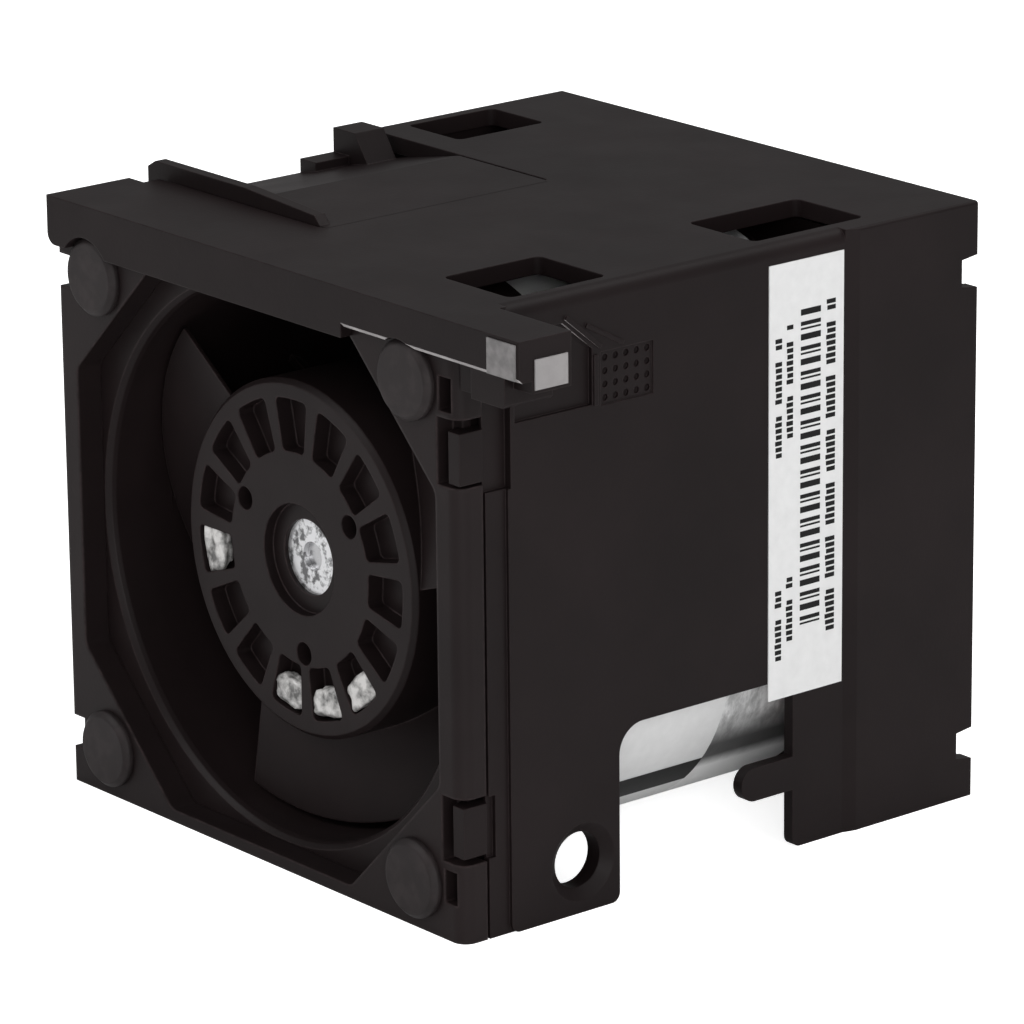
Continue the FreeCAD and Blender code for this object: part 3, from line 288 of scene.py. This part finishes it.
def foil(name):
    """Satin foil, brushed round the barrel, with a painted dark reflection band where it turns
    under and a painted bright reflection below that band.
    """
    n = Nodes(name)
    low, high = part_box("foil_band")
    grain = n.noise(900.0, 5.0, 0.65, (0.5, 1.0, 0.5))
    silver = n.blend(n.ramp(grain, "Fac", 0.38, 0.62, 0.0, 1.0), "Result",
                     scaled(FOIL, 0.50), scaled(FOIL, 0.95))
    split = n.add("ShaderNodeSeparateXYZ")
    n.join(n.place, "Object", split, "Vector")
    # Painted dark reflection band, and a painted bright reflection of the floor below it.
    below = n.ramp(split, "Z", low.z + FOIL_PAINTED_BAND[0], low.z + FOIL_PAINTED_BAND[1], 0.0, 1.0)
    above = n.ramp(split, "Z", low.z + FOIL_PAINTED_BAND[2], low.z + FOIL_PAINTED_BAND[3], 1.0, 0.0)
    painted_dark_band = n.math("MULTIPLY", (below, "Result"), (above, "Result"))
    painted_bright_foot = n.ramp(split, "Z", low.z + FOIL_PAINTED_BAND[0], low.z + FOIL_PAINTED_BAND[1], 1.0, 0.0)
    toned = n.blend(painted_bright_foot, "Result", (silver, "Result"), FOIL)
    n.colour_from(n.blend(painted_dark_band, "Value", (toned, "Result"), scaled(FOIL, 0.10)))
    n.join(n.bump(grain, "Fac", 0.4, 0.04 * MM), "Normal", n.shader, "Normal")
    n.join(n.ramp(grain, "Fac", 0.3, 0.7, 0.38, 0.52), "Result", n.shader, "Roughness")
    n.set(Metallic=0.2)
    return n.material


def putty_material(name):
    """Grey balancing putty with a smeared, half shiny skin."""
    n = Nodes(name)
    smear = n.ramp(n.noise(620.0, 4.0, 0.6), "Fac", 0.36, 0.60, 0.0, 1.0)
    n.colour_from(n.blend(smear, "Result", scaled(PUTTY, 0.22), scaled(PUTTY, 1.5)))
    n.join(n.bump(n.noise(800.0, 4.0, 0.6), "Fac", 0.8, 0.16 * MM), "Normal",
           n.shader, "Normal")
    n.set(Roughness=0.30, Specular_IOR_Level=0.7)
    return n.material


def bushing_metal(name):
    """Bright metal with a rough, hammered face."""
    n = Nodes(name)
    pits = n.ramp(n.noise(1100.0, 3.0, 0.6), "Fac", 0.38, 0.52, 0.0, 1.0)
    n.colour_from(n.blend(pits, "Result", scaled(STEEL, 0.30), scaled(STEEL, 1.5)))
    n.join(n.bump(n.noise(1000.0, 3.0, 0.6), "Fac", 0.6, 0.10 * MM), "Normal",
           n.shader, "Normal")
    n.set(Roughness=0.36, Metallic=0.75)
    return n.material


def touch_plastic(name):
    """Grey touch point: the end patch is coloured paler than the front patch."""
    n = Nodes(name)
    low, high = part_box("touch_point")
    split = n.add("ShaderNodeSeparateXYZ")
    n.join(n.place, "Object", split, "Vector")
    share = n.ramp(split, "X", high.x - 0.5 * MM, high.x - 0.4 * MM, 0.0, 1.0)
    tone = n.blend(share, "Result", scaled(GREY, 0.32), scaled(GREY, 0.66))
    cloud = n.ramp(n.noise(700.0, 4.0), "Fac", 0.4, 0.6, 0.0, 0.35)
    n.colour_from(n.blend(cloud, "Result", (tone, "Result"), scaled(GREY, 0.8)))
    n.join(n.bump(n.noise(1600.0), "Fac", 0.3, 0.03 * MM, n.edges(0.15 * MM)), "Normal",
           n.shader, "Normal")
    n.set(Roughness=0.42)
    return n.material


def plain(name, colour, roughness, gloss=0.5):
    """Small inner pieces: fine grain and a little tone."""
    n = Nodes(name)
    tone = n.ramp(n.noise(500.0, 3.0), "Fac", 0.35, 0.65, 0.0, 1.0)
    n.colour_from(n.blend(tone, "Result", scaled(colour, 0.85), scaled(colour, 1.1)))
    n.join(n.bump(n.noise(1800.0), "Fac", 0.3, 0.02 * MM, n.edges(0.1 * MM)), "Normal",
           n.shader, "Normal")
    n.set(Roughness=roughness, Specular_IOR_Level=gloss)
    return n.material


def banded(name, colour, pitch, direction, roughness, metallic):
    """Layers or turns of wire: even dark lines square to a direction."""
    n = Nodes(name)
    wave = n.add("ShaderNodeTexWave", bands_direction=direction)
    wave.inputs["Scale"].default_value = 1.0 / pitch / 20.0 * math.pi
    n.join(n.place, "Object", wave, "Vector")
    n.colour_from(n.blend(wave, "Fac", scaled(colour, 0.45), colour))
    n.join(n.bump(wave, "Fac", 0.6, pitch / 3), "Normal", n.shader, "Normal")
    n.set(Roughness=roughness, Metallic=metallic)
    return n.material


# ---------------------------------------------------------------- dressing the frame
def dress(material, slot, *names):
    for name in names:
        piece = frame["nodes"][name]
        piece.data.materials.clear()
        piece.data.materials.append(material)


def both(*names):
    return [stage + "_" + name for name in names for stage in ("front", "rear")]


def dress_frame():
    carrier = plastic("carrier_plastic", CARRIER, 0.46, 2600.0, 0.03 * MM)
    bezel = plastic("bezel_plastic", BEZEL, 0.44, 2600.0, 0.03 * MM, 0.45 * MM, 4.0)
    fan = plastic("fan_plastic", FAN, 0.42, 3400.0, 0.02 * MM, 0.28 * MM, 4.5)
    dress(carrier, "carrier_plastic", "carrier", "release_latch")
    dress(bezel, "carrier_plastic", "front_bezel")
    latch_root_web(carrier)
    # Pale grey skin on the lip's lower chamfer: a painted highlight.
    painted_lip_highlight(plain("lip_highlight_paint", scaled(GREY, 1.3), 0.25))
    dress(fan, "fan_plastic", *both("fan_housing", "impeller"))
    dress(touch_plastic("touch_plastic"), "touch_plastic", "touch_point")
    dress(rubber("pin_rubber", RUBBER), "pin_rubber", *both("rubber_pins"))
    label = paper("label_paper")
    dress(label, "label_paper", "side_label", "rating_label")
    ink = plain("ink", INK, 0.4, 0.1)
    label_prints(ink)
    silver = foil("foil")
    dress(silver, "foil", "foil_band")
    fan_body(fan)
    barrel_wraps(label, silver, ink)
    dress(plain("connector_plastic", CARRIER, 0.4), "connector_plastic", "connector_housing")
    dress(metal("contact_metal", BRASS, 0.25), "contact_metal", "connector_contacts")
    putty = putty_material("putty")
    dress(putty, "putty", "balance_putty")
    putty_lumps(putty)
    dress(metal("yoke_steel", DARK_STEEL, 0.4), "yoke_steel", *both("rotor_yoke"))
    dress(plain("magnet", MAGNET, 0.6), "magnet", *both("magnet_ring"))
    dress(bushing_metal("bushing_steel"), "bushing_steel", *both("hub_bushing"))
    bright = metal("shaft_steel", STEEL, 0.2, (1, 8, 1))
    dress(bright, "shaft_steel", *both("shaft", "retaining_clip", "preload_washer"))
    dress(metal("tube_brass", BRASS, 0.3, (1, 8, 1)), "tube_brass", *both("bearing_tube"))
    race = metal("bearing_steel", STEEL, 0.14)
    dress(race, "bearing_steel",
          *both("outer_bearing_rings", "inner_bearing_rings", "bearing_balls"))
    dress(banded("core_steel", DARK_STEEL, 0.5 * MM, "Y", 0.45, 0.9), "core_steel",
          *both("stator_core"))
    dress(banded("winding_copper", COPPER, 0.3 * MM, "X", 0.3, 0.8), "winding_copper",
          *both("windings"))
    dress(plain("bobbin_plastic", BOBBIN, 0.5), "bobbin_plastic", *both("winding_bobbins"))
    dress(plain("board", BOARD, 0.35), "board", *both("circuit_board"))
    dress(rubber("lead_sleeve", LEAD_COLOURS[0]), "lead_sleeve", "fan_leads")


# ---------------------------------------------------------------- pieces of the scene
def new_piece(name, points, faces, material, body, smooth=False):
    mesh = bpy.data.meshes.new(name)
    mesh.from_pydata([tuple(p) for p in points], [], faces)
    mesh.validate()
    mesh.materials.append(material)
    for polygon in mesh.polygons:
        polygon.use_smooth = smooth
    piece = bpy.data.objects.new(name, mesh)
    bpy.context.scene.collection.objects.link(piece)
    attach(piece, body)
    return piece


def islands(name):
    """The separate solids of a CAD node, each as a list of its corner places."""
    work = bmesh.new()
    work.from_mesh(frame["nodes"][name].data)
    bmesh.ops.remove_doubles(work, verts=work.verts, dist=0.002 * MM)
    left = set(work.verts)
    found = []
    while left:
        edge = [left.pop()]
        group = []
        while edge:
            vert = edge.pop()
            group.append(vert.co.copy())
            for link in vert.link_edges:
                other = link.other_vert(vert)
                if other in left:
                    left.remove(other)
                    edge.append(other)
        found.append(group)
    work.free()
    return found


def axle():
    """A point on the rotors' axis, level with the bezel's front."""
    low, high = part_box("front_shaft")
    return Vector(((low.x + high.x) / 2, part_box("front_bezel")[0].y, (low.z + high.z) / 2))


def around(centre, radius, angle, y):
    return Vector((centre.x + radius * math.cos(angle), y, centre.z + radius * math.sin(angle)))


def putty_lumps(material):
    """Hand-pressed putty that fills the outer part of four balancing pockets."""
    centre = axle()
    for index, group in enumerate(islands("balance_putty")):
        middle = sum(group, Vector()) / len(group)
        angle = math.atan2(middle.z - centre.z, middle.x - centre.x)
        reach = [math.hypot(p.x - centre.x, p.z - centre.z) for p in group]
        face, floor_y = min(p.y for p in group), max(p.y for p in group)
        inner, outer = min(reach), max(reach)
        along = Vector((math.cos(angle), 0, math.sin(angle)))
        across = Vector((-math.sin(angle), 0, math.cos(angle)))
        work = bmesh.new()
        bmesh.ops.create_icosphere(work, subdivisions=4, radius=1.0)
        points = []
        for vert in work.verts:
            way = vert.co.normalized()
            square = (way.x ** 4 + way.y ** 4 + way.z ** 4) ** -0.25
            lump = 1 - 0.14 * (1 + noise.noise(way * 2.3 + Vector((index * 3.7, 0, 0))))
            lump -= 0.05 * (1 + noise.noise(way * 6.1 + Vector((0, index * 2.9, 0))))
            x, y, z = way * square * lump
            radius = (inner + outer) / 2 + x * (outer - inner) / 2
            room = radius * math.tan(POCKET_HALF_PITCH) - POCKET_HALF_RIB
            depth = (face + floor_y) / 2 + y * (floor_y - face) / 2
            if y < 0:
                depth += y * PUTTY_PROUD
                room += PUTTY_SPREAD * min(1.0, -2 * y)
            base = centre + along * radius + across * (z * room)
            points.append(Vector((base.x, depth, base.z)))
        faces = [[v.index for v in f.verts] for f in work.faces]
        work.free()
        lump_piece = new_piece("putty_lump_%d" % (index + 1), points, faces, material,
                               "front_rotor", smooth=True)
        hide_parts("balance_putty")


def painted_lip_highlight(material):
    """Pale grey skin on the slanted lower edge of the lip: a painted highlight."""
    mesh = frame["nodes"]["carrier"].data
    points, faces = [], []
    for polygon in mesh.polygons:
        slant = polygon.normal.y < -0.6 and polygon.normal.z < -0.6
        if slant and polygon.center.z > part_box("touch_point")[0].z:
            base = len(points)
            points += [mesh.vertices[k].co + polygon.normal * PRINT_RISE
                       for k in polygon.vertices]
            faces.append(list(range(base, len(points))))
    new_piece("painted_lip_highlight", points, faces, material, "module")


def latch_root_web(material):
    """Thin moulded web over the slot at the root of the release latch."""
    low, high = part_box("release_latch")
    seam = high.x + SEAM_HALF_WIDTH / 2
    top = max(v.co.z for v in frame["nodes"]["release_latch"].data.vertices
              if v.co.x > high.x - SEAM_HALF_WIDTH) + SEAM_RISE
    points = [(seam - SEAM_HALF_WIDTH, low.y, top), (seam + SEAM_HALF_WIDTH, low.y, top),
              (seam + SEAM_HALF_WIDTH, high.y, top), (seam - SEAM_HALF_WIDTH, high.y, top)]
    new_piece("latch_root_web", points, [[0, 1, 2, 3]], material, "module")


def flat_print(name, boxes, x, ink):
    """Rectangles of ink on a face square to X."""
    points, faces = [], []
    for y_low, y_high, z_low, z_high in boxes:
        base = len(points)
        points += [(x, y_low, z_low), (x, y_high, z_low), (x, y_high, z_high), (x, y_low, z_high)]
        faces.append([base, base + 1, base + 2, base + 3])
    new_piece(name, points, faces, ink, "module")


def greeked_rule(y_low, width, z_low, z_high):
    """A row of plain marks in groups, in place of a line of words."""
    boxes = []
    place, count = z_low, 0
    while place + STROKE < z_high:
        count += 1
        if (count * 5) % 8 == 0:
            place += STROKE
        else:
            cut = width * (0.0, 0.12, 0.05)[count % 3]
            boxes.append((y_low + cut, y_low + width, place, place + STROKE))
        place += STROKE + STROKE_GAP
    return boxes


def label_prints(ink):
    """A plain ladder of bars and greeked rules: a generic print that says nothing."""
    low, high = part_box("side_label")
    width, height = high.y - low.y, high.z - low.z
    boxes = []
    place = low.z + height * PRINT_LOW
    top = low.z + height * PRINT_HIGH
    step = 0
    while place < top:
        bar = BAR_PITCH * (1 + (step * 7 % 3)) / 2
        boxes.append((low.y + width * 0.42, low.y + width * 0.69, place, min(place + bar, top)))
        place += bar + BAR_PITCH * (1 + (step * 5 % 3)) / 2
        step += 1
    for column, share, (start, end) in GREEKED_RULES:
        boxes += greeked_rule(low.y + width * column, width * share,
                              low.z + height * start, low.z + height * end)
    flat_print("label_print", boxes, high.x + PRINT_RISE, ink)


def body_path(start, end, lift):
    """Corner places, square to Y, of the fan body's outline between two angles in degrees."""
    centre = axle()
    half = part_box("rating_label")[1].x - centre.x + lift
    arc = half - BODY_FLAT
    places = []
    for quarter in range(math.floor(start / 90), math.ceil(end / 90)):
        low, high = max(start, 90 * quarter), min(end, 90 * quarter + 90)
        middle = math.radians(90 * quarter + 45)
        x = centre.x + math.copysign(BODY_FLAT, math.cos(middle))
        z = centre.z + math.copysign(BODY_FLAT, math.sin(middle))
        for step in range(BODY_STEPS + 1):
            angle = math.radians(low + (high - low) * step / BODY_STEPS)
            places.append((x + arc * math.cos(angle), z + arc * math.sin(angle)))
    return places


def body_wrap(name, start, end, y_low, y_high, lift, material, slot):
    """Sheet along the body's outline."""
    places = body_path(start, end, lift)
    points = [Vector((x, y, z)) for x, z in places for y in (y_low, y_high)]
    faces = [[k, k + 1, k + 3, k + 2] for k in range(0, len(points) - 2, 2)]
    return new_piece(name, points, faces, material, "module", smooth=True)


def body_front():
    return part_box("front_rubber_pins")[1].y + BODY_PINS_GAP


def fan_body(material):
    """The body with its two end faces, round the barrel."""
    centre = axle()
    front, rear = body_front(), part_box("rear_rubber_pins")[0].y - BODY_PINS_GAP
    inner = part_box("rating_label")[1].x - centre.x - 2 * WRAP_RISE
    places = body_path(-180, 180, 0)
    points = []
    for x, z in places:
        angle = math.atan2(z - centre.z, x - centre.x)
        points += [around(centre, inner, angle, front), Vector((x, front, z)),
                   Vector((x, rear, z)), around(centre, inner, angle, rear)]
    faces = []
    for k in range(len(places)):
        a, b = 4 * k, 4 * ((k + 1) % len(places))
        faces += [[a + i, a + i + 1, b + i + 1, b + i] for i in range(3)]
    new_piece("fan_body", points, faces, material, "module")


def barrel_wraps(label, silver, ink):
    """White label with a plain dark strip, and the silver foil behind it."""
    front = body_front()
    for name, node, start, end, material, slot in (
            ("barrel_label", "rating_label", WRAP_START, WRAP_SEAM, label, "label_paper"),
            ("barrel_foil", "foil_band", WRAP_SEAM, WRAP_END, silver, "foil")):
        piece = body_wrap(name, *WRAP_ANGLES, front + start, front + end, WRAP_RISE,
                          material, slot)
        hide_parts(node)
    body_wrap("barrel_strip", *STRIP_ANGLES, front + STRIP_START, front + WRAP_SEAM,
              1.2 * WRAP_RISE, ink, "label_paper")


# ---------------------------------------------------------------- stage, light and camera
def floor():
    """Pale floor that stays white in view and keeps a soft shadow."""
    bpy.ops.mesh.primitive_plane_add(size=6.0, location=(0, 0, 0))
    plane = bpy.context.object
    plane.name = "floor"
    n = Nodes("floor")
    n.colour_from(n.blend(n.noise(3.0), "Fac", (0.93, 0.93, 0.93), (0.95, 0.95, 0.95)))
    rays = n.add("ShaderNodeLightPath")
    lift = n.math("MULTIPLY", (rays, "Is Camera Ray"), FLOOR_LIFT)
    n.join(lift, "Value", n.shader, "Emission Strength")
    n.set(Roughness=0.9, Specular_IOR_Level=0.0, Emission_Color=(1, 1, 1, 1))
    plane.data.materials.append(n.material)


def world(light_level):
    """White where it is seen, a plain even level where it lights."""
    scene_world = bpy.data.worlds.new("studio")
    bpy.context.scene.world = scene_world
    scene_world.use_nodes = True
    tree = scene_world.node_tree
    background = tree.nodes["Background"]
    rays = tree.nodes.new("ShaderNodeLightPath")
    seen = tree.nodes.new("ShaderNodeMath")
    seen.operation = "MAXIMUM"
    tree.links.new(rays.outputs["Is Camera Ray"], seen.inputs[0])
    tree.links.new(rays.outputs["Is Transmission Ray"], seen.inputs[1])
    level = tree.nodes.new("ShaderNodeMapRange")
    level.inputs["To Min"].default_value = light_level
    level.inputs["To Max"].default_value = 1.0
    tree.links.new(seen.outputs[0], level.inputs["Value"])
    tree.links.new(level.outputs["Result"], background.inputs["Strength"])
    background.inputs["Color"].default_value = (1, 1, 1, 1)


def softbox(name, place, aim, size, power):
    data = bpy.data.lights.new(name, "AREA")
    data.shape = "RECTANGLE"
    data.size, data.size_y = size
    data.energy = power
    lamp = bpy.data.objects.new(name, data)
    bpy.context.scene.collection.objects.link(lamp)
    lamp.location = place
    lamp.rotation_euler = (Vector(aim) - Vector(place)).to_track_quat("-Z", "Y").to_euler()


def lights():
    middle = (0, 0.03, 0.03)
    softbox("key", (-0.25, -0.55, 0.60), middle, (0.5, 0.4), 2.2)
    softbox("side", (0.70, 0.05, 0.34), middle, (0.4, 0.3), 1.1)
    softbox("low", (0.70, -0.30, 0.08), middle, (0.4, 0.12), 0.6)
    softbox("fill", (0.72, -0.55, 0.30), middle, (0.3, 0.3), 1.7)
    softbox("top", (0.10, 0.25, 0.75), middle, (0.6, 0.6), 2.8)


def camera():
    data = bpy.data.cameras.new("camera")
    data.lens = LENS
    data.sensor_width = 36.0
    data.clip_start, data.clip_end = 0.01, 20.0
    piece = bpy.data.objects.new("camera", data)
    bpy.context.scene.collection.objects.link(piece)
    back = Vector((math.sin(AZIMUTH) * math.cos(ELEVATION),
                   -math.cos(AZIMUTH) * math.cos(ELEVATION), math.sin(ELEVATION)))
    level_right = Vector((math.cos(AZIMUTH), math.sin(AZIMUTH), 0))
    level_up = back.cross(level_right)
    right = level_right * math.cos(ROLL) + level_up * math.sin(ROLL)
    up = level_up * math.cos(ROLL) - level_right * math.sin(ROLL)
    target = Vector((0, AIM_DEPTH, axle().z))
    place = target + right * AIM_RIGHT + up * AIM_UP + back * DISTANCE
    turn = Matrix((right, up, back)).transposed().to_4x4()
    piece.matrix_world = Matrix.Translation(place) @ turn
    bpy.context.scene.camera = piece


dress_frame()
floor()
world(0.30)
lights()
camera()
bpy.context.scene.view_settings.view_transform = "Standard"
